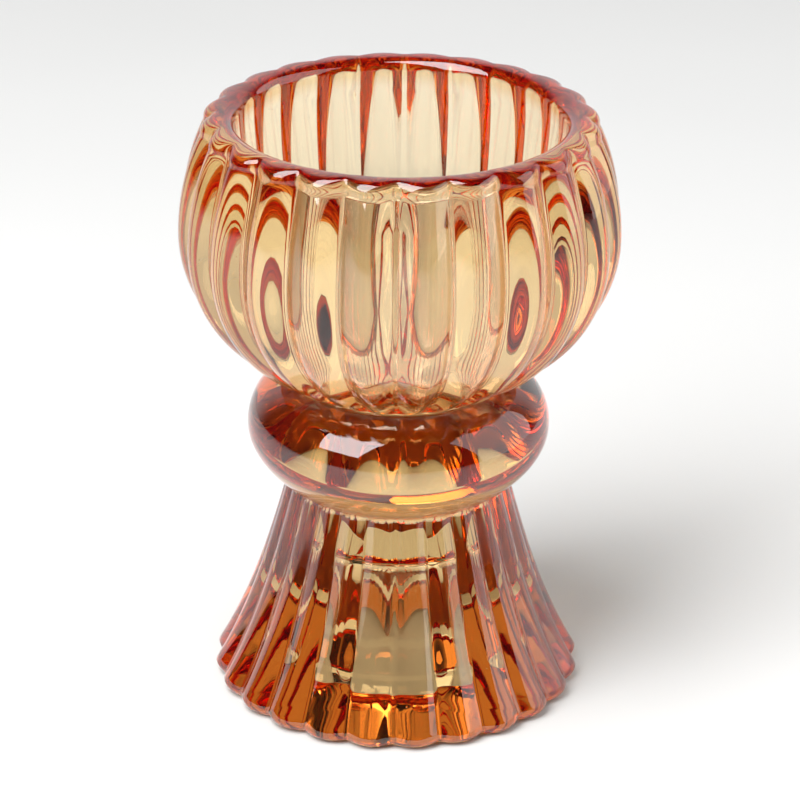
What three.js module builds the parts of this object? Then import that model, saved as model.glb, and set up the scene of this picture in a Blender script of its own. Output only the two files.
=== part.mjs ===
// Ribbed glass candlestick, in millimetres, +Z up. It stands on z = 0 with its axis on Z.
//
// Three glass members sit on one another at two narrow necks: a flared foot that is hollow
// underneath, a smooth round collar, and a round bowl that holds a tea light. Each one is turned
// from an outline of (radius, height) points. On the foot and the bowl the outline runs along the
// crests of the ribs, and every point says how far the valleys between the ribs sink in below it.

import * as THREE from 'three';

// Whole object
const HEIGHT = 110;
const RIB_COUNT = 24;
const STEPS_PER_RIB = 4;
const NECK_LOWER = 40; // the foot ends and the collar starts
const NECK_UPPER = 60.4; // the collar ends and the bowl starts
const AMBER = 0xd98a45;

// Foot
const FOOT_RADIUS = 34.2; // crest of the ribs at the bottom edge
const FOOT_NECK_RADIUS = 20.3;
const FOOT_HOLLOWING = 1.92; // how far the side sinks below a straight cone
const FOOT_SWEEP = 0.52; // moves the deepest part of that hollow towards the bottom
const FOOT_EDGE = 2; // rounding of the bottom edge
const FOOT_RIB_DEPTH = 1.4;

// Socket for a dinner candle, open at the underside of the foot
const SOCKET_DEPTH = 26;
const SOCKET_MOUTH_RADIUS = 12.4;
const SOCKET_FLARE = 1.8; // height of the flared mouth
const SOCKET_WALL_RADIUS = 10.8; // just above the flare
const SOCKET_END_RADIUS = 9.8;
const SOCKET_CORNER = 1.5;

// Collar
const COLLAR_RADIUS = 27.75;
const COLLAR_MIDDLE = 50.7;
const COLLAR_LOWER_ROUND = 7.75; // radius of curvature at the widest height; it gets flatter below
const COLLAR_UPPER_ROUND = 9.85;

// Bowl
const BOWL_RADIUS = 39.8; // crest of the ribs at the widest height
const BOWL_MIDDLE = 88.5;
const BOWL_DROP = 32.2; // height of the ellipse below the widest height
const BOWL_RISE = 42; // height of the ellipse above it
const BOWL_RIB_DEPTH = 2.3;
const RIM_START = 107.2;
const RIM_RIB_SHARE = 0.8; // how much of the rib depth is left where the rim starts
const RIB_FADE = 5; // height over which the ribs fade towards the rim
const RIB_RUN_IN = 1.5; // height over which they grow out of the neck
const MOUTH_RADIUS = 29.3;
const CUP_FLOOR = 66;
const CUP_FLOOR_RADIUS = 24;
const CUP_CORNER = 10;

/** One outline point: crest radius, height, and the depth of the valleys there. */
function at(radius, height, valley = 0) {
  return { radius, height, valley };
}

/** Points at even angles along an arc of an ellipse, from one angle to another, in degrees. */
function arc(centre, radii, from, to, steps, valley = () => 0) {
  return Array.from({ length: steps + 1 }, (_, i) => {
    const share = i / steps;
    const angle = THREE.MathUtils.degToRad(from + (to - from) * share);
    const radius = centre[0] + radii[0] * Math.cos(angle);
    return at(radius, centre[1] + radii[1] * Math.sin(angle), valley(share));
  });
}

/** Points at even steps between two heights, with the radius given by a rule. */
function climb(from, to, steps, radius, valley = () => 0) {
  return Array.from({ length: steps + 1 }, (_, i) => {
    const height = from + ((to - from) * i) / steps;
    return at(radius(height), height, valley(height));
  });
}

/** How far a rib's surface lies below its crest: 0 on the crest, 1 in the sharp valley beside it. */
function flute(angle) {
  return 1 - Math.abs(Math.sin((angle * RIB_COUNT) / 2));
}

/** Turns an outline round the axis, sinks the valleys, and stands the result up on Z. */
function turned(outline) {
  const section = outline.map(({ radius, height }) => new THREE.Vector2(radius, height));
  const segments = RIB_COUNT * STEPS_PER_RIB;
  const geometry = new THREE.LatheGeometry(section, segments);
  const { position } = geometry.attributes;
  for (let i = 0; i < position.count; i += 1) {
    const { radius, height, valley } = outline[i % outline.length];
    const turn = (Math.floor(i / outline.length) % segments) / segments;
    const angle = turn * 2 * Math.PI;
    const sunk = radius - valley * flute(angle);
    position.setXYZ(i, sunk * Math.sin(angle), height, sunk * Math.cos(angle));
  }
  geometry.rotateX(Math.PI / 2);
  return geometry;
}

/** Crest radius of the flared foot at a height. */
function footCrest(height) {
  const share = (height - FOOT_EDGE) / (NECK_LOWER - FOOT_EDGE);
  const cone = FOOT_RADIUS + (FOOT_NECK_RADIUS - FOOT_RADIUS) * share;
  return cone - FOOT_HOLLOWING * 4 * share * (1 - share) * (1 - FOOT_SWEEP * share);
}

/** Crest radius of the bowl at a height: one ellipse below its widest height, a taller one above. */
function bowlCrest(height) {
  const reach = height < BOWL_MIDDLE ? BOWL_DROP : BOWL_RISE;
  return BOWL_RADIUS * Math.sqrt(1 - ((height - BOWL_MIDDLE) / reach) ** 2);
}

function foot() {
  const footValley = (height) => (FOOT_RIB_DEPTH * footCrest(height)) / FOOT_RADIUS;
  const socketEnd = arc(
    [SOCKET_END_RADIUS - SOCKET_CORNER, SOCKET_DEPTH - SOCKET_CORNER],
    [SOCKET_CORNER, SOCKET_CORNER],
    90,
    0,
    3,
  );
  const edgeCentre = [FOOT_RADIUS - FOOT_EDGE, FOOT_EDGE];
  const edge = arc(edgeCentre, [FOOT_EDGE, FOOT_EDGE], -90, 0, 4, () => FOOT_RIB_DEPTH);
  const side = climb(FOOT_EDGE, NECK_LOWER, 9, footCrest, footValley).slice(1);
  return turned([
    at(0, SOCKET_DEPTH),
    ...socketEnd,
    at(SOCKET_WALL_RADIUS, SOCKET_FLARE),
    at(SOCKET_MOUTH_RADIUS, 0),
    ...edge,
    ...side,
    at(0, NECK_LOWER),
  ]);
}

/** Radius of the collar at a height below its widest: a curve that gets steadily flatter. */
function collarBelow(height) {
  return COLLAR_RADIUS - (COLLAR_MIDDLE - height) ** 2 / (2 * COLLAR_LOWER_ROUND);
}

function collar() {
  const upperEnd = THREE.MathUtils.radToDeg(
    Math.asin((NECK_UPPER - COLLAR_MIDDLE) / COLLAR_UPPER_ROUND),
  );
  const centre = [COLLAR_RADIUS - COLLAR_UPPER_ROUND, COLLAR_MIDDLE];
  const above = arc(centre, [COLLAR_UPPER_ROUND, COLLAR_UPPER_ROUND], 0, upperEnd, 6);
  return turned([
    at(0, NECK_LOWER),
    ...climb(NECK_LOWER, COLLAR_MIDDLE, 6, collarBelow),
    ...above.slice(1),
    at(0, NECK_UPPER),
  ]);
}

function bowl() {
  const bowlValley = (height) => {
    const fade = RIM_RIB_SHARE + (1 - RIM_RIB_SHARE) * ((RIM_START - height) / RIB_FADE);
    const growth = (height - NECK_UPPER) / RIB_RUN_IN;
    return BOWL_RIB_DEPTH * Math.min(1, fade, growth);
  };
  const below = climb(NECK_UPPER, BOWL_MIDDLE, 8, bowlCrest, bowlValley);
  const above = climb(BOWL_MIDDLE, RIM_START, 6, bowlCrest, bowlValley).slice(1);
  const rimOuter = bowlCrest(RIM_START);
  const rimHalf = (rimOuter - MOUTH_RADIUS) / 2;
  const rim = arc(
    [MOUTH_RADIUS + rimHalf, RIM_START],
    [rimHalf, HEIGHT - RIM_START],
    0,
    180,
    8,
    (share) => BOWL_RIB_DEPTH * RIM_RIB_SHARE * Math.max(0, 1 - 2 * share),
  );
  const cupCorner = arc(
    [CUP_FLOOR_RADIUS - CUP_CORNER, CUP_FLOOR + CUP_CORNER],
    [CUP_CORNER, CUP_CORNER],
    0,
    -90,
    4,
  );
  return turned([
    at(0, NECK_UPPER),
    ...below,
    ...above,
    ...rim.slice(1),
    ...cupCorner,
    at(0, CUP_FLOOR),
  ]);
}

function glass(name, geometry) {
  const material = new THREE.MeshStandardMaterial({ color: AMBER, roughness: 0.05, metalness: 0 });
  const mesh = new THREE.Mesh(geometry, material);
  mesh.name = name;
  return mesh;
}

const candlestick = new THREE.Group();
candlestick.add(glass('foot', foot()));
candlestick.add(glass('collar', collar()));
candlestick.add(glass('bowl', bowl()));

export default candlestick;
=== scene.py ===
# %% [markdown]
# # A ribbed amber glass candlestick
#
# The real object is one piece of pressed glass: a gob of hot glass is dropped into an iron mould and a
# plunger is pushed down into it. The mould gives the ribs outside and the plunger gives the smooth cup
# inside. Fire polishing then melts the skin smooth, and a thin amber stain is laid on the outside.
# The CAD model holds its sizes as three solids. Here the same sizes drive one continuous body of glass,
# because light runs straight through both necks of the real one.

# %% Load the frame
import math
import bmesh
import bpy
from mathutils import Matrix, Vector


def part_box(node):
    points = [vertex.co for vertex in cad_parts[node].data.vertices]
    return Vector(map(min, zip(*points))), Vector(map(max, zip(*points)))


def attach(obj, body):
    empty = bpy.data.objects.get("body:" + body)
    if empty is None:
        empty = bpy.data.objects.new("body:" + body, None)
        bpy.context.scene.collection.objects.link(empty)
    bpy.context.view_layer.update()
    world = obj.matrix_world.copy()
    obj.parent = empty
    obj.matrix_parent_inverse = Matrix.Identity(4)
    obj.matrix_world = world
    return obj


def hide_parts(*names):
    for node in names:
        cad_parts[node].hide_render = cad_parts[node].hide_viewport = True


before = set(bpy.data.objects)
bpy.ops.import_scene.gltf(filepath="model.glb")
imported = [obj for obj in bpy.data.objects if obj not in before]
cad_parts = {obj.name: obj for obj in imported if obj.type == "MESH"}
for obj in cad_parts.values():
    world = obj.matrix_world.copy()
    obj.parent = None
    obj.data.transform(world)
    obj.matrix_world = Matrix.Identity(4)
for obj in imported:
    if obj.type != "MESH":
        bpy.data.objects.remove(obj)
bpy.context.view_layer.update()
MM = 0.001  # one millimetre in Blender's metres

# %% [markdown]
# ## Measures
#
# Every height and width that the CAD model knows is read from its boxes. The ribs are sharp valleys
# between rounded crests, with a valley exactly on each axis, so the crest nearest the side of a node's
# box is turned half a rib away from it, and the crest radius is a little more than half the box.
# The crests are drawn a hair smaller than in CAD, because this mesh is finer and must stay in its box.

# %% Read the heights and widths
RIB_COUNT = 24
CREST_SHARE = 0.9988  # keeps the finer crests inside the CAD box


def top_of(node):
    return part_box(node)[1].z / MM


def half_width(node):
    low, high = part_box(node)
    return (high.x - low.x) / 2 / MM


def crest_of(node):
    return half_width(node) / math.cos(math.pi / RIB_COUNT) * CREST_SHARE


lower_neck = top_of("foot")
upper_neck = top_of("collar")
height = top_of("bowl")
foot_radius = crest_of("foot")
collar_radius = half_width("collar") * CREST_SHARE
bowl_radius = crest_of("bowl")
print("necks at", round(lower_neck, 1), round(upper_neck, 1), "top at", round(height, 1))
print("foot, collar, bowl radius:", round(foot_radius, 2), round(collar_radius, 2), round(bowl_radius, 2))

# %% [markdown]
# ## The outline
#
# A turned shape is best described by half of its section. Each outline point says its radius, its
# height, and how deep the valleys between the ribs are there: none in the cup, on the collar and
# in the socket, and full depth on the bowl and the foot. Two helpers are enough: one for points along
# an arc, and one for points at even heights with a rule for the radius.

# %% Helpers for the outline
def arc(centre, radii, start, end, steps, valley=lambda share: 0.0):
    points = []
    for i in range(steps + 1):
        share = i / steps
        angle = math.radians(start + (end - start) * share)
        radius = centre[0] + radii[0] * math.cos(angle)
        points.append((radius, centre[1] + radii[1] * math.sin(angle), valley(share)))
    return points


def climb(start, end, steps, radius, valley=lambda z: 0.0):
    heights = [start + (end - start) * i / steps for i in range(steps + 1)]
    return [(radius(z), z, valley(z)) for z in heights]


print("a quarter arc:", [(round(r, 2), round(z, 2)) for r, z, depth in arc((0, 0), (1, 1), 0, 90, 2)])

# %% [markdown]
# ## The socket
#
# Turned over, the candlestick takes a dinner candle in a tapered socket under the foot. The plunger of
# the mould leaves it smooth, with a rounded end and a short flare at the mouth. It can't be seen from
# outside, but it shows through the glass as bright and dark bands, so it is modelled in full.

# %% Socket outline, from its end on the axis to its mouth
SOCKET_DEPTH = 26.0
SOCKET_END_RADIUS = 9.8
SOCKET_CORNER = 1.5
SOCKET_WALL_RADIUS = 10.8
SOCKET_MOUTH_RADIUS = 12.4
SOCKET_FLARE = 1.8
SOCKET_CORNER_STEPS = 6
SOCKET_WALL_STEPS = 8
EDGE_GUARD = 0.1  # rings this near the mouth keep smooth shading off the flat underside


def socket_outline():
    centre = (SOCKET_END_RADIUS - SOCKET_CORNER, SOCKET_DEPTH - SOCKET_CORNER)
    corner = arc(centre, (SOCKET_CORNER, SOCKET_CORNER), 90, 0, SOCKET_CORNER_STEPS)
    taper = SOCKET_WALL_RADIUS - SOCKET_END_RADIUS
    length = centre[1] - SOCKET_FLARE

    def wall(z):
        return SOCKET_END_RADIUS + taper * (centre[1] - z) / length

    walls = climb(centre[1], SOCKET_FLARE, SOCKET_WALL_STEPS, wall)[1:]
    flare = SOCKET_MOUTH_RADIUS - SOCKET_WALL_RADIUS
    mouth = [
        (SOCKET_MOUTH_RADIUS - flare * EDGE_GUARD / SOCKET_FLARE, EDGE_GUARD, 0.0),
        (SOCKET_MOUTH_RADIUS, 0.0, 0.0),
    ]
    return [(0.0, SOCKET_DEPTH, 0.0)] + corner + walls + mouth


print("socket points:", len(socket_outline()))

# %% [markdown]
# ## The foot
#
# The foot flares like a skirt. Its side is a cone that sinks a little, most of all low down, and its
# bottom edge is rounded where the hot glass met the mould's base plate. The ribs run its whole height
# and get shallower as the foot narrows, since each has less width.

# %% Foot outline, from the underside to the lower neck
FOOT_NECK_RADIUS = 20.3
FOOT_HOLLOWING = 1.92
FOOT_SWEEP = 0.52
FOOT_EDGE = 2.0
FOOT_RIB_DEPTH = 1.4
FOOT_EDGE_STEPS = 6
FOOT_SIDE_STEPS = 44


def foot_side(z):
    share = (z - FOOT_EDGE) / (lower_neck - FOOT_EDGE)
    cone = foot_radius + (FOOT_NECK_RADIUS - foot_radius) * share
    return cone - FOOT_HOLLOWING * 4 * share * (1 - share) * (1 - FOOT_SWEEP * share)


def foot_valley(z):
    return FOOT_RIB_DEPTH * foot_side(z) / foot_radius


def foot_outline():
    centre = (foot_radius - FOOT_EDGE, FOOT_EDGE)
    edge = arc(centre, (FOOT_EDGE, FOOT_EDGE), -90, 0, FOOT_EDGE_STEPS, lambda share: FOOT_RIB_DEPTH)
    return edge + climb(FOOT_EDGE, lower_neck, FOOT_SIDE_STEPS, foot_side, foot_valley)[1:]


print("foot points:", len(foot_outline()))

# %% [markdown]
# ## The collar
#
# The smooth ring between the necks is the grip. Below its widest height it falls away in a curve that
# gets steadily flatter towards the lower neck, and above it is a plain round.

# %% Collar outline, from the lower neck to the upper one
COLLAR_MIDDLE = 50.7
COLLAR_LOWER_ROUND = 7.75
COLLAR_UPPER_ROUND = 9.85
COLLAR_STEPS = 22


def collar_below(z):
    return collar_radius - (COLLAR_MIDDLE - z) ** 2 / (2 * COLLAR_LOWER_ROUND)


def collar_outline():
    centre = (collar_radius - COLLAR_UPPER_ROUND, COLLAR_MIDDLE)
    end = math.degrees(math.asin((upper_neck - COLLAR_MIDDLE) / COLLAR_UPPER_ROUND))
    above = arc(centre, (COLLAR_UPPER_ROUND, COLLAR_UPPER_ROUND), 0, end, COLLAR_STEPS)
    return climb(lower_neck, COLLAR_MIDDLE, COLLAR_STEPS, collar_below) + above[1:]


print("collar points:", len(collar_outline()))

# %% [markdown]
# ## The bowl
#
# The bowl's crests follow two half ellipses that meet at its widest height, a short one below and a
# tall one above. The ribs start at full depth at the neck and run right up to the lip, where they melt
# into a rounded rim. The cup inside is smooth.

# %% Bowl outline, from the upper neck to the start of the rim
BOWL_MIDDLE = 88.5
BOWL_DROP = 32.2
BOWL_RISE = 42.0
BOWL_RIB_DEPTH = 2.3
BOWL_STEPS = 92
RIB_RUN_IN = 1.5  # height over which the ribs grow out of the neck
RIM_HEIGHT = 2.8
RIM_RIB_SHARE = 0.8  # how much of the rib depth is left where the rim starts
RIM_FADE = 5.0  # height over which it drops to that

rim_start = height - RIM_HEIGHT


def bowl_side(z):
    reach = BOWL_DROP if z < BOWL_MIDDLE else BOWL_RISE
    return bowl_radius * math.sqrt(1 - ((z - BOWL_MIDDLE) / reach) ** 2)


def bowl_valley(z):
    growth = (z - upper_neck) / RIB_RUN_IN
    fade = RIM_RIB_SHARE + (1 - RIM_RIB_SHARE) * min(1, (rim_start - z) / RIM_FADE)
    return BOWL_RIB_DEPTH * min(1, growth, fade)


bowl_wall = climb(upper_neck, rim_start, BOWL_STEPS, bowl_side, bowl_valley)
print("bowl points:", len(bowl_wall), "radius where the rim starts:", round(bowl_side(rim_start), 2))

# %% [markdown]
# ## The rim
#
# Fire polishing rounds the lip, and the ribs melt away across it. The rim's section is half an ellipse
# made a little blunt, which gives it the fuller shoulders of melted glass.

# %% Rim outline, from the outside over the lip to the mouth
MOUTH_RADIUS = 29.3
RIM_STEPS = 22
RIM_BLUNTNESS = 0.8  # 1 is a true ellipse, and less is fuller
RIM_RIB_SPREAD = 1.2  # how far over the lip the ribs reach: 1 is its very top


def blunt(value):
    return math.copysign(abs(value) ** RIM_BLUNTNESS, value)


def rim_outline():
    half = (bowl_side(rim_start) - MOUTH_RADIUS) / 2
    points = []
    for i in range(1, RIM_STEPS + 1):
        angle = math.pi * i / RIM_STEPS
        radius = MOUTH_RADIUS + half + half * blunt(math.cos(angle))
        z = rim_start + RIM_HEIGHT * blunt(math.sin(angle))
        ribs_left = max(0.0, math.cos(angle / RIM_RIB_SPREAD))
        points.append((radius, z, BOWL_RIB_DEPTH * RIM_RIB_SHARE * ribs_left))
    return points


print("rim points:", len(rim_outline()))

# %% [markdown]
# ## The cup
#
# The plunger leaves the inside smooth: a wall that widens a little upwards, so that the plunger comes
# out, a well rounded corner, and a flat floor for a tea light.

# %% Cup outline, from the mouth down to the middle of the floor
CUP_FLOOR = 66.0
CUP_FLOOR_RADIUS = 24.0
CUP_CORNER = 10.0
CUP_WALL_STEPS = 14
CUP_CORNER_STEPS = 10


def cup_outline():
    centre = (CUP_FLOOR_RADIUS - CUP_CORNER, CUP_FLOOR + CUP_CORNER)
    rise = rim_start - centre[1]
    widening = MOUTH_RADIUS - CUP_FLOOR_RADIUS

    def wall(z):
        return CUP_FLOOR_RADIUS + widening * (z - centre[1]) / rise

    walls = climb(rim_start, centre[1], CUP_WALL_STEPS, wall)[1:]
    corner = arc(centre, (CUP_CORNER, CUP_CORNER), 0, -90, CUP_CORNER_STEPS)[1:]
    return walls + corner + [(0.0, CUP_FLOOR, 0.0)]


print("cup points:", len(cup_outline()))

# %% [markdown]
# ## One outline, and where the stain goes
#
# The stain is brushed or sprayed on after pressing, so it covers the outside, up to the lip and
# underneath, and leaves the cup and the socket clear. Each stretch of the outline is marked with a 1 or
# a 0 for that, and the stretches are joined into one line from the end of the socket to the cup floor.

# %% Join the stretches
underside = [(SOCKET_MOUTH_RADIUS + EDGE_GUARD, 0.0, 0.0)]
outer_skin = underside + foot_outline() + collar_outline() + bowl_wall + rim_outline()
stretches = [(socket_outline(), 0.0), (outer_skin, 1.0), (cup_outline(), 0.0)]
outline = [(spot, stain) for points, stain in stretches for spot in points]
print("outline points:", len(outline))

# %% [markdown]
# ## Turning and ribbing with Geometry Nodes
#
# The whole shape follows one rule, so a node tree can make it: the outline becomes a mesh of loose
# points that carry the depth of the valleys and the stain as attributes. The tree makes a grid with one
# row for each outline point and one column for each step round the axis, and moves every grid point to
# its place. A Spin of the outline would do for a plain vase, but it couldn't sink the ribs.

# %% One helper that adds a node with its settings and links, and a short form for maths
def add_node(tree, kind, settings=None, **links):
    node = tree.nodes.new(kind)
    for name, value in (settings or {}).items():
        setattr(node, name, value)
    for name, value in links.items():
        key = int(name[1:]) if name[1:].isdigit() else name.replace("_", " ")
        socket = node.inputs[key]
        if isinstance(value, bpy.types.NodeSocket):
            tree.links.new(value, socket)
        else:
            socket.default_value = value
    return node


def math_node(tree, operation, *values):
    links = {f"i{i}": value for i, value in enumerate(values)}
    return add_node(tree, "ShaderNodeMath", {"operation": operation}, **links).outputs[0]


print("node helpers ready")

# %% The tree's named inputs
ribbing = bpy.data.node_groups.new("turned_and_ribbed", "GeometryNodeTree")
TREE_INPUTS = {
    "Outline": "NodeSocketGeometry",
    "Ribs": "NodeSocketInt",
    "Steps Around": "NodeSocketInt",
    "Seam Height": "NodeSocketFloat",
    "Seam Width": "NodeSocketFloat",
    "Unevenness": "NodeSocketFloat",
    "Unevenness Size": "NodeSocketFloat",
    "Seed": "NodeSocketFloat",
    "Glass": "NodeSocketMaterial",
}
for name, kind in TREE_INPUTS.items():
    ribbing.interface.new_socket(name, in_out="INPUT", socket_type=kind)
ribbing.interface.new_socket("Glassware", in_out="OUTPUT", socket_type="NodeSocketGeometry")
given = ribbing.nodes.new("NodeGroupInput").outputs
print("tree inputs:", [s.name for s in given if s.name])


# %% [markdown]
# A grid numbers its points column by column, so the remainder of a point's number divided by the number
# of rows is its row in the outline, and the whole part of the division is its step round the axis.

# %% Rows, columns and the angle round the axis
HALF_STEP = 0.5  # added before a division is rounded down, so that rounding errors can't tip it


def row_and_angle(tree, outline_socket, steps):
    size = add_node(tree, "GeometryNodeAttributeDomainSize", {"component": "MESH"}, Geometry=outline_socket)
    rows = size.outputs["Point Count"]
    columns = math_node(tree, "ADD", steps, 1)
    grid = add_node(tree, "GeometryNodeMeshGrid", None, Vertices_X=columns, Vertices_Y=rows)
    index = add_node(tree, "GeometryNodeInputIndex").outputs[0]
    row = math_node(tree, "FLOORED_MODULO", index, rows)
    nudged = math_node(tree, "ADD", index, HALF_STEP)
    column = math_node(tree, "FLOOR", math_node(tree, "DIVIDE", nudged, rows))
    turn = math_node(tree, "DIVIDE", column, steps)
    return grid.outputs["Mesh"], row, math_node(tree, "MULTIPLY", turn, 2 * math.pi)


grid, row, angle = row_and_angle(ribbing, given["Outline"], given["Steps Around"])
print("rows and columns made")


# %% What the outline says at each row
def sampled(tree, outline_socket, kind, value, row_socket):
    node = add_node(tree, "GeometryNodeSampleIndex", {"data_type": kind, "domain": "POINT"})
    tree.links.new(outline_socket, node.inputs["Geometry"])
    tree.links.new(value, node.inputs["Value"])
    tree.links.new(row_socket, node.inputs["Index"])
    return node.outputs[0]


def named(tree, name):
    settings = {"data_type": "FLOAT"}
    return add_node(tree, "GeometryNodeInputNamedAttribute", settings, Name=name).outputs[0]


place = add_node(ribbing, "GeometryNodeInputPosition").outputs[0]
point = sampled(ribbing, given["Outline"], "FLOAT_VECTOR", place, row)
valley = sampled(ribbing, given["Outline"], "FLOAT", named(ribbing, "valley"), row)
stain = sampled(ribbing, given["Outline"], "FLOAT", named(ribbing, "stain"), row)
section = add_node(ribbing, "ShaderNodeSeparateXYZ", None, Vector=point).outputs
print("the outline gives a place, a valley depth and a stain")

# %% [markdown]
# ### Ribs
#
# A rib is an arch between two sharp valleys, as a round cutter leaves them in the mould, and the
# absolute value of a sine is just that shape. Every point moves in by the valley's depth at its height
# times how far it lies from the crest.

# %% The valleys sink in by one less the absolute sine
rib_angle = math_node(ribbing, "MULTIPLY", angle, given["Ribs"])
half_turns = math_node(ribbing, "MULTIPLY", rib_angle, 0.5)
arch = math_node(ribbing, "ABSOLUTE", math_node(ribbing, "SINE", half_turns))
sunk = math_node(ribbing, "MULTIPLY", valley, math_node(ribbing, "SUBTRACT", 1.0, arch))
ribbed = math_node(ribbing, "SUBTRACT", section["X"], sunk)
print("ribs made")

# %% [markdown]
# ### Mould seam
#
# Where the two halves of the mould met, a little glass is pressed into the joint. It leaves a hair-thin
# ridge down the front and the back, in the middle of a valley, and fire polishing rounds it to a bell
# shape. The smooth collar is polished clean, so the ridge is only where there are ribs.

# %% A narrow bell-shaped ridge in the front and back valleys
RIBS_START = 0.0001  # a valley deeper than this, in metres, counts as ribbed

aside = math_node(ribbing, "MULTIPLY", math_node(ribbing, "SINE", angle), ribbed)
narrow = math_node(ribbing, "DIVIDE", aside, given["Seam Width"])
squared = math_node(ribbing, "MULTIPLY", narrow, narrow)
bell = math_node(ribbing, "EXPONENT", math_node(ribbing, "MULTIPLY", squared, -1.0))
on_ribs = math_node(ribbing, "GREATER_THAN", valley, RIBS_START)
ridge_height = math_node(ribbing, "MULTIPLY", bell, given["Seam Height"])
ridge = math_node(ribbing, "MULTIPLY", ridge_height, on_ribs)
seamed = math_node(ribbing, "ADD", ribbed, ridge)
print("mould seam made")

# %% [markdown]
# ### Fire-polished unevenness
#
# Melted skin is never quite true, and glass shows the slightest wave as a bend in what is seen through
# it. A slow noise pulls the surface in by a few hundredths of a millimetre. It never pushes out, so
# nothing leaves the CAD box, and it leaves the axis alone, so the two poles stay closed.

# %% A slow noise, always inwards
ON_AXIS = 0.0001  # a point nearer to the axis than this, in metres, stays on it


def placed(tree, radius, sine_socket, cosine_socket, z):
    x = math_node(tree, "MULTIPLY", radius, sine_socket)
    y = math_node(tree, "MULTIPLY", math_node(tree, "MULTIPLY", radius, cosine_socket), -1.0)
    return add_node(tree, "ShaderNodeCombineXYZ", None, X=x, Y=y, Z=z).outputs[0]


sine = math_node(ribbing, "SINE", angle)
cosine = math_node(ribbing, "COSINE", angle)
ring = placed(ribbing, seamed, sine, cosine, section["Z"])
zoom = math_node(ribbing, "DIVIDE", 1.0, given["Unevenness Size"])
noise = add_node(ribbing, "ShaderNodeTexNoise", {"noise_dimensions": "4D"}, Vector=ring, W=given["Seed"],
                 Scale=zoom, Detail=1.0).outputs[0]
off_axis = math_node(ribbing, "GREATER_THAN", section["X"], ON_AXIS)
dip = math_node(ribbing, "MULTIPLY", math_node(ribbing, "MULTIPLY", noise, given["Unevenness"]), off_axis)
final_radius = math_node(ribbing, "SUBTRACT", seamed, dip)
print("unevenness made")

# %% [markdown]
# ### Closing the turn
#
# The first and the last column of the grid lie on each other, and so do all the points of the rows on
# the axis. Merging them closes the body, and it is shaded smooth, as fire-polished glass is.

# %% Move the grid into place, close it, smooth it and give it its glass
MERGE_DISTANCE = 0.000002

position = placed(ribbing, final_radius, sine, cosine, section["Z"])
stained = add_node(ribbing, "GeometryNodeStoreNamedAttribute", {"data_type": "FLOAT", "domain": "POINT"},
                   Geometry=grid, Name="stain", Value=stain).outputs[0]
moved = add_node(ribbing, "GeometryNodeSetPosition", None, Geometry=stained, Position=position).outputs[0]
closed = add_node(ribbing, "GeometryNodeMergeByDistance", None, Geometry=moved,
                  Distance=MERGE_DISTANCE).outputs[0]
smooth = add_node(ribbing, "GeometryNodeSetShadeSmooth", None, Geometry=closed).outputs[0]
real = add_node(ribbing, "GeometryNodeRealizeInstances", None, Geometry=smooth).outputs[0]
finished = add_node(ribbing, "GeometryNodeSetMaterial", None, Geometry=real,
                    Material=given["Glass"]).outputs[0]
add_node(ribbing, "NodeGroupOutput", None, Glassware=finished)
print("nodes in the tree:", len(ribbing.nodes))

# %% [markdown]
# ## Colours
#
# Colours are written as sRGB hex, as a colour chart gives them, and Blender works in linear light, so
# one function turns the one into the other. Two more fill a colour ramp and mix two colours.

# %% Colours as sRGB hex, turned to linear
def linear(hex_code):
    channels = [int(hex_code[i:i + 2], 16) / 255 for i in (1, 3, 5)]
    return [c / 12.92 if c <= 0.04045 else ((c + 0.055) / 1.055) ** 2.4 for c in channels] + [1.0]


def fill_ramp(node, stops):
    ramp = node.color_ramp
    while len(ramp.elements) < len(stops):
        ramp.elements.new(0.5)
    for element, (place_along, colour) in zip(ramp.elements, stops):
        element.position = place_along
        element.color = linear(colour)
    return node.outputs["Color"]


def mix_colours(tree, share, first, second):
    return add_node(tree, "ShaderNodeMix", {"data_type": "RGBA"}, i0=share, i6=first, i7=second).outputs[2]


print("mid grey in linear light:", round(linear("#808080")[0], 3))

# %% [markdown]
# ## Seeds and specks
#
# Cheap pressed glass holds seeds, which are tiny trapped bubbles, and its skin picks up specks from the
# mould. Here they are round pimples, up to a third of a millimetre wide, in patches. The nearest cell
# point of a Voronoi pattern gives the dots, a slow noise keeps them to some patches, and a bump node
# lifts them, because hundreds of real bubbles would cost more triangles than the candlestick itself.

# %% Dots in patches, as a bump
SEED_SPACING = 2.5 * MM
SEED_SHARE = 0.07  # the radius of a dot, as a share of the spacing
SEED_RELIEF = 0.05 * MM
PATCH_SCALE = 60.0  # patches of about 17 mm
PATCH_START = 0.52  # the noise has to be above this for dots to show


def seeds_and_specks(tree):
    spot = add_node(tree, "ShaderNodeTexCoord").outputs["Object"]
    cells = add_node(tree, "ShaderNodeTexVoronoi", None, Vector=spot, Scale=1 / SEED_SPACING)
    settings = {"interpolation_type": "SMOOTHSTEP"}
    dots = add_node(tree, "ShaderNodeMapRange", settings, Value=cells.outputs["Distance"], From_Min=0.0,
                    From_Max=SEED_SHARE, To_Min=1.0, To_Max=0.0).outputs[0]
    drift = add_node(tree, "ShaderNodeTexNoise", None, Vector=spot, Scale=PATCH_SCALE).outputs[0]
    in_patch = math_node(tree, "GREATER_THAN", drift, PATCH_START)
    here = math_node(tree, "MULTIPLY", dots, in_patch)
    bump = add_node(tree, "ShaderNodeBump", None, Height=here, Distance=SEED_RELIEF, Strength=1.0)
    return bump.outputs[0]


print("a dot is up to", round(2 * SEED_SHARE * SEED_SPACING / MM, 2), "mm wide")

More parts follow.
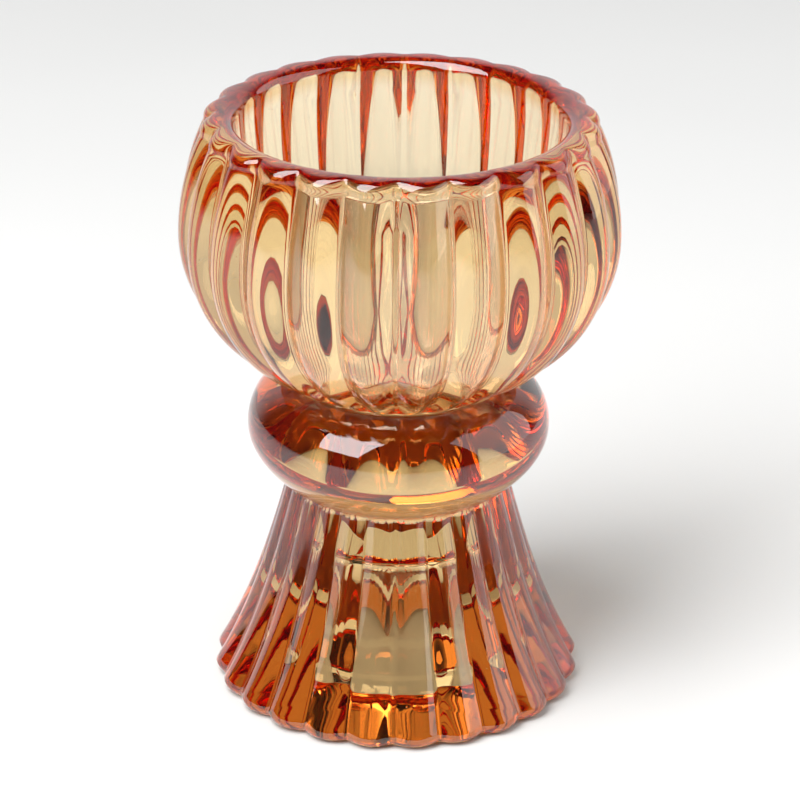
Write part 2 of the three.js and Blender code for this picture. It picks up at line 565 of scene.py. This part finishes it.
# %% [markdown]
# ## The glass
#
# Pressed soda-lime glass with an amber stain. The stain is a thin fired film on the outside, so the
# glass is pale where it is looked straight through, and turns gold and orange where light crosses the
# film at a slant; Layer Weight gives the slant. Light that the outer skin throws back inside the glass
# crosses the film twice, so each such bounce makes it a deeper orange, and two or three make it red. A
# Fresnel node that reads fully mirrored on a back face marks that light, and it goes through a tinted
# mirror shader. The cup and the socket have no film. A fired film bends light more than glass does, and
# a thin coat gives its brighter highlights. A little absorption adds the straw tint of cheap glass.

# %% Amber-stained pressed glass
CLEAR = linear("#FFFFFF")
SLANT_COLOURS = [(0.15, "#F3DDB2"), (0.45, "#E6A25C"), (0.95, "#C4561E")]
SLANT_BLEND = 0.35
THROWN_BACK = "#F29C54"
FULLY_MIRRORED = 0.999
BODY_TINT = "#EED898"
BODY_DENSITY = 22.0
GLASS_IOR = 1.52
COAT_WEIGHT = 0.5
COAT_IOR = 1.7


def thrown_back_inside(tree):
    fresnel = add_node(tree, "ShaderNodeFresnel", None, IOR=GLASS_IOR).outputs[0]
    mirrored = math_node(tree, "GREATER_THAN", fresnel, FULLY_MIRRORED)
    inside = add_node(tree, "ShaderNodeNewGeometry").outputs["Backfacing"]
    return math_node(tree, "MULTIPLY", inside, mirrored)


def stained_glass():
    material = bpy.data.materials.new("amber_stained_pressed_glass")
    material.use_nodes = True
    tree = material.node_tree
    tree.nodes.clear()
    relief = seeds_and_specks(tree)
    skin = add_node(tree, "ShaderNodeAttribute", {"attribute_name": "stain"}).outputs["Fac"]
    slant = add_node(tree, "ShaderNodeLayerWeight", None, Blend=SLANT_BLEND).outputs["Facing"]
    film = fill_ramp(add_node(tree, "ShaderNodeValToRGB", None, Fac=slant), SLANT_COLOURS)
    skin_colour = mix_colours(tree, skin, CLEAR, film)
    through = add_node(tree, "ShaderNodeBsdfPrincipled", None, Base_Color=skin_colour, Roughness=0.0,
                       IOR=GLASS_IOR, Transmission_Weight=1.0, Coat_Weight=COAT_WEIGHT,
                       Coat_IOR=COAT_IOR, Coat_Roughness=0.0, Normal=relief).outputs[0]
    tinted = mix_colours(tree, skin, CLEAR, linear(THROWN_BACK))
    mirror = add_node(tree, "ShaderNodeBsdfAnisotropic", None, Color=tinted, Roughness=0.0).outputs[0]
    surface = add_node(tree, "ShaderNodeMixShader", None, i0=thrown_back_inside(tree), i1=through,
                       i2=mirror).outputs[0]
    body = add_node(tree, "ShaderNodeVolumeAbsorption", None, Color=linear(BODY_TINT),
                    Density=BODY_DENSITY).outputs[0]
    add_node(tree, "ShaderNodeOutputMaterial", None, Surface=surface, Volume=body)
    return material


glass = stained_glass()
print("glass nodes:", len(glass.node_tree.nodes))

# %% [markdown]
# ## Making the glassware
#
# The tree's inputs are set on the modifier before the object is first evaluated, then the evaluated
# result is copied into a plain mesh and the modifier is taken away. Each rib gets sixteen steps, which
# is fine enough for clean refraction and still keeps the piece under 200,000 triangles.

# %% Outline points as a mesh

def outline_mesh(points):
    mesh = bpy.data.meshes.new("outline")
    mesh.from_pydata([(radius * MM, 0.0, z * MM) for (radius, z, sunk_in), stained_by in points], [], [])
    valleys = mesh.attributes.new("valley", "FLOAT", "POINT")
    valleys.data.foreach_set("value", [sunk_in * MM for (radius, z, sunk_in), stained_by in points])
    stains = mesh.attributes.new("stain", "FLOAT", "POINT")
    stains.data.foreach_set("value", [stained_by for (radius, z, sunk_in), stained_by in points])
    return mesh


def set_inputs(modifier, tree, values):
    for item in tree.interface.items_tree:
        if item.in_out == "INPUT" and item.name in values:
            modifier[item.identifier] = values[item.name]


section_mesh = outline_mesh(outline)
print("loose points:", len(section_mesh.vertices))

# %% Turn the outline and keep a plain mesh
STEPS_PER_RIB = 16
SEAM_HEIGHT = 0.12 * MM
SEAM_WIDTH = 0.35 * MM
UNEVENNESS = 0.03 * MM
UNEVENNESS_SIZE = 9 * MM
UNEVENNESS_SEED = 3.0

glassware = bpy.data.objects.new("candlestick_glass", section_mesh)
bpy.context.scene.collection.objects.link(glassware)
turning = glassware.modifiers.new("turned and ribbed", "NODES")
turning.node_group = ribbing
set_inputs(turning, ribbing, {
    "Ribs": RIB_COUNT,
    "Steps Around": RIB_COUNT * STEPS_PER_RIB,
    "Seam Height": SEAM_HEIGHT,
    "Seam Width": SEAM_WIDTH,
    "Unevenness": UNEVENNESS,
    "Unevenness Size": UNEVENNESS_SIZE,
    "Seed": UNEVENNESS_SEED,
    "Glass": glass,
})
evaluated = glassware.evaluated_get(bpy.context.evaluated_depsgraph_get())
turned = bpy.data.meshes.new_from_object(evaluated)
glassware.modifiers.remove(turning)
glassware.data = turned
turned.materials.clear()
turned.materials.append(glass)
turned.polygons.foreach_set("material_index", [0] * len(turned.polygons))
print("faces:", len(turned.polygons), "materials:", [material.name for material in turned.materials])

# %% [markdown]
# ## Checking the mesh
#
# A turned mesh can come out inside out, so its faces are pointed outwards and its volume is measured:
# a positive volume and no open edge show that it is closed and the right way out.

# %% Point the faces outwards and measure
shell = bmesh.new()
shell.from_mesh(turned)
bmesh.ops.recalc_face_normals(shell, faces=shell.faces)
open_edges = [edge for edge in shell.edges if not edge.is_manifold]
volume = shell.calc_volume(signed=True)
triangles = sum(len(face.verts) - 2 for face in shell.faces)
shell.to_mesh(turned)
shell.free()
print("volume in ml:", round(volume * 1e6, 1), "open edges:", len(open_edges), "triangles:", triangles)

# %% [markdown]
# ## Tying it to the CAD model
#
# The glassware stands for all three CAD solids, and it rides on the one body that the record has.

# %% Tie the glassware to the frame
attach(glassware, "root")
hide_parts("bowl", "collar", "foot")
print(glassware.name, "stands for the bowl, the collar and the foot")

# %% [markdown]
# ## The floor
#
# A sheet of matt white paper, as in a product studio. It ends not far behind the candlestick, so that
# the glass also shows the backdrop beyond it. A very slow mottle in its colour keeps it from being a
# flat white.

# %% Floor
PAPER_COLOURS = [(0.3, "#EFEFEE"), (0.7, "#F3F3F2")]
PAPER_ROUGHNESS = 0.6
MOTTLE_SCALE = 6.0  # mottles of about 170 mm
FLOOR_HALF = 2.0
FLOOR_BACK = 0.46
FLOOR_GAP = 0.0002  # keeps the paper and the underside from touching


def paper():
    material = bpy.data.materials.new("matt_pale_paper")
    material.use_nodes = True
    tree = material.node_tree
    surface = tree.nodes["Principled BSDF"]
    surface.inputs["Roughness"].default_value = PAPER_ROUGHNESS
    place_on_floor = add_node(tree, "ShaderNodeTexCoord").outputs["Object"]
    mottle = add_node(tree, "ShaderNodeTexNoise", None, Vector=place_on_floor, Scale=MOTTLE_SCALE)
    ramp = add_node(tree, "ShaderNodeValToRGB", None, Fac=mottle.outputs[0])
    shade = fill_ramp(ramp, PAPER_COLOURS)
    tree.links.new(shade, surface.inputs["Base Color"])
    return material


floor_mesh = bpy.data.meshes.new("floor")
corners = [
    (-FLOOR_HALF, -FLOOR_HALF, -FLOOR_GAP),
    (FLOOR_HALF, -FLOOR_HALF, -FLOOR_GAP),
    (FLOOR_HALF, FLOOR_BACK, -FLOOR_GAP),
    (-FLOOR_HALF, FLOOR_BACK, -FLOOR_GAP),
]
floor_mesh.from_pydata(corners, [], [(0, 1, 2, 3)])
floor_mesh.materials.append(paper())
floor = bpy.data.objects.new("floor", floor_mesh)
bpy.context.scene.collection.objects.link(floor)
print("floor is", 2 * FLOOR_HALF, "m wide and ends", FLOOR_BACK, "m behind the axis")

# %% [markdown]
# ## The light
#
# Glass has no look of its own: it shows what stands around it. A tall softbox at the front left gives
# the bright oblong on the collar and the small ones on the ribs. A weaker panel stands at the right.

# %% Softboxes
LIT_POINT = (0, 0, 0.06)
KEY_PLACE = (-0.411, -0.39, 0.874)
KEY_SIZE = (0.63, 1.2)
KEY_POWER = 17.0
SIDE_PLACE = (0.9, 0.01, 0.486)
SIDE_SIZE = (1.1, 1.1)
SIDE_POWER = 6.0


def softbox(name, position, size, power):
    lamp = bpy.data.lights.new(name, "AREA")
    lamp.shape = "RECTANGLE"
    lamp.size, lamp.size_y = size
    lamp.energy = power
    holder = bpy.data.objects.new(name, lamp)
    bpy.context.scene.collection.objects.link(holder)
    away = (Vector(position) - Vector(LIT_POINT)).normalized()
    holder.matrix_world = Matrix.Translation(position) @ away.to_track_quat("Z", "Y").to_matrix().to_4x4()
    return holder


softbox("key_softbox", KEY_PLACE, KEY_SIZE, KEY_POWER)
softbox("side_panel", SIDE_PLACE, SIDE_SIZE, SIDE_POWER)
print("key", KEY_POWER, "W, side panel", SIDE_POWER, "W")

# %% [markdown]
# A bright backdrop behind shines through the glass, and the dark room at the sides and in front draws
# the dark lines that give the ribs their shape. Both are in the world's light: it is bright towards the
# back, and fades to the sides and near the top.

# %% Bright backdrop in a dark room
ROOM_LIGHT = 0.03
BACKDROP_LIGHT = 0.75
BACKDROP_START = 0.45  # how squarely behind a direction is, from 0 at the sides to 1 straight back
BACKDROP_FULL = 0.8
FADE_START = 0.6  # how steep a direction is, from 0 level to 1 straight up
FADE_END = 0.95
LEFT_AT_TOP = 0.1

world = bpy.data.worlds.new("studio")
bpy.context.scene.world = world
world.use_nodes = True
room = world.node_tree
direction = add_node(room, "ShaderNodeTexCoord").outputs["Generated"]
facing = add_node(room, "ShaderNodeSeparateXYZ", None, Vector=direction).outputs


def eased(value, start, end, low, high):
    settings = {"interpolation_type": "SMOOTHSTEP"}
    node = add_node(room, "ShaderNodeMapRange", settings, Value=value, From_Min=start, From_Max=end,
                    To_Min=low, To_Max=high)
    return node.outputs[0]


behind = eased(facing["Y"], BACKDROP_START, BACKDROP_FULL, 0.0, 1.0)
below_top = eased(facing["Z"], FADE_START, FADE_END, 1.0, LEFT_AT_TOP)
backdrop = math_node(room, "MULTIPLY", behind, below_top)
strength = math_node(room, "MULTIPLY_ADD", backdrop, BACKDROP_LIGHT, ROOM_LIGHT)
background = room.nodes["Background"]
background.inputs["Color"].default_value = (1.0, 1.0, 1.0, 1.0)
room.links.new(strength, background.inputs["Strength"])
print("backdrop", BACKDROP_LIGHT, "room", ROOM_LIGHT)

# %% [markdown]
# ## The camera
#
# A long lens from a little above, looking down into the mouth of the bowl and a degree to the right of
# the mould seam. The camera leans by half a degree.

# %% Camera
CAMERA_REACH = 0.557
CAMERA_HEIGHT = 0.3108
CAMERA_TURN = math.radians(1.0)
CAMERA_LEAN = 0.0088  # radians
AIM_HEIGHT = 0.0544
SENSOR_WIDTH = 36
LENS = 150.5
SIDE_SHIFT = 0.0018
NEAREST = 0.01

camera_data = bpy.data.cameras.new("camera")
camera_data.sensor_width = SENSOR_WIDTH
camera_data.lens = LENS
camera_data.shift_x = SIDE_SHIFT
camera_data.clip_start = NEAREST
camera = bpy.data.objects.new("camera", camera_data)
bpy.context.scene.collection.objects.link(camera)
stand_x = math.sin(CAMERA_TURN) * CAMERA_REACH
stand_y = -math.cos(CAMERA_TURN) * CAMERA_REACH
stand = Vector((stand_x, stand_y, CAMERA_HEIGHT))
view_line = Vector((0, 0, AIM_HEIGHT)) - stand
level = (-view_line).to_track_quat("Z", "Y").to_matrix().to_4x4()
camera.matrix_world = Matrix.Translation(stand) @ level @ Matrix.Rotation(CAMERA_LEAN, 4, "Z")
bpy.context.scene.camera = camera
print("camera", round(view_line.length, 3), "m away")

# %% [markdown]
# ## Bounces and view
#
# Thick ribbed glass needs many bounces before light finds its way out, or the cores of the neck and
# the foot turn black.

# %% Bounces and view
scene = bpy.context.scene
GLASS_BOUNCES = 24
MIRROR_BOUNCES = 12

scene.cycles.max_bounces = GLASS_BOUNCES
scene.cycles.transmission_bounces = GLASS_BOUNCES
scene.cycles.glossy_bounces = MIRROR_BOUNCES
scene.view_settings.view_transform = "Standard"
print("bounces:", scene.cycles.max_bounces)
